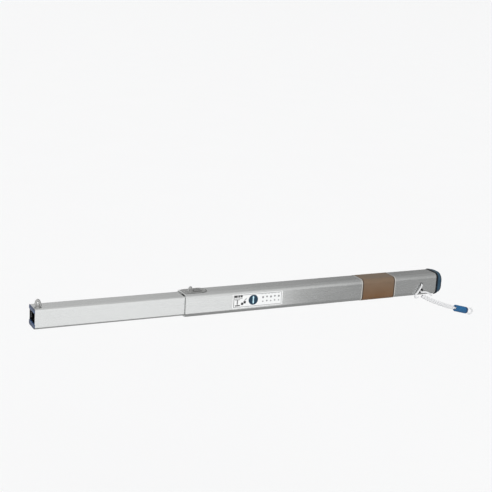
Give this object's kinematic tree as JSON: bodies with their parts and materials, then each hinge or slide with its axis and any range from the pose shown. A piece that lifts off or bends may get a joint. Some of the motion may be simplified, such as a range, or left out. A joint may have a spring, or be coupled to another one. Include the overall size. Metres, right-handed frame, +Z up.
{
  "type": "telescopic clothesline boom",
  "caption": "Telescopic square-tube clothesline boom with a sliding inner tube, top line eyes, slide lock, blue end caps and a plaited tether at its butt.",
  "frame": {"origin": "centre of the butt cap's flat end face, where the boom bolts to its post bracket", "axes": "+X along the boom from tip to butt and out of the butt face, +Y to the side away from the label, +Z up through the line eyes"},
  "size_m": [1.0888, 0.0641, 0.1286],
  "materials": {
    "aluminium": "satin anodised, drawn along the tube",
    "steel": "zinc plated",
    "brass": "turned",
    "blue_plastic": "moulded dark blue",
    "bright_blue_plastic": "moulded bright blue",
    "grey_plastic": "moulded grey",
    "dark_plastic": "moulded dark grey",
    "rubber": "black",
    "printed_film": "white printed film",
    "brown_tape": "glossy brown film",
    "white_rope": "white plaited cord"
  },
  "bodies": {
    "outer_boom": {"outer_tube": "aluminium", "mouth_bush": "grey_plastic", "lock_plate": "steel", "mouth_eye": "steel", "plate_rivet_1": "steel", "plate_rivet_2": "steel", "bush_rivet_far": "steel", "bush_rivet_bottom": "steel", "butt_cap": "blue_plastic", "cap_screw_far": "steel", "cap_screw_bottom": "steel", "butt_insert_near": "brass", "butt_insert_far": "brass", "cord_grommet_upper": "rubber", "cord_grommet_lower": "rubber", "label": "printed_film", "colour_band": "brown_tape", "tether_strand": "white_rope", "tether_arc": "white_rope", "tether_plait": "white_rope", "tether_ferrule": "bright_blue_plastic", "tether_end_loop": "white_rope", "tether_stopper_knot": "white_rope"},
    "inner_boom": {"inner_tube": "aluminium", "tip_cap": "blue_plastic", "tip_eye": "steel", "tip_eye_nut": "steel", "tip_rivet_near": "steel", "tip_rivet_far": "steel", "rear_glide": "grey_plastic", "glide_rivet_near": "steel", "glide_rivet_far": "steel"},
    "slide_lock": {"lock_slider": "dark_plastic", "brake_pad": "rubber"}
  },
  "joints": [
    {"name": "inner_slide", "type": "slide", "parent": "outer_boom", "child": "inner_boom", "axis": [1, 0, 0], "range_m": [-0.18, 0.3]},
    {"name": "lock_slide", "type": "slide", "parent": "outer_boom", "child": "slide_lock", "axis": [1, 0, 0], "range_m": [0, 0.006]}
  ]
}
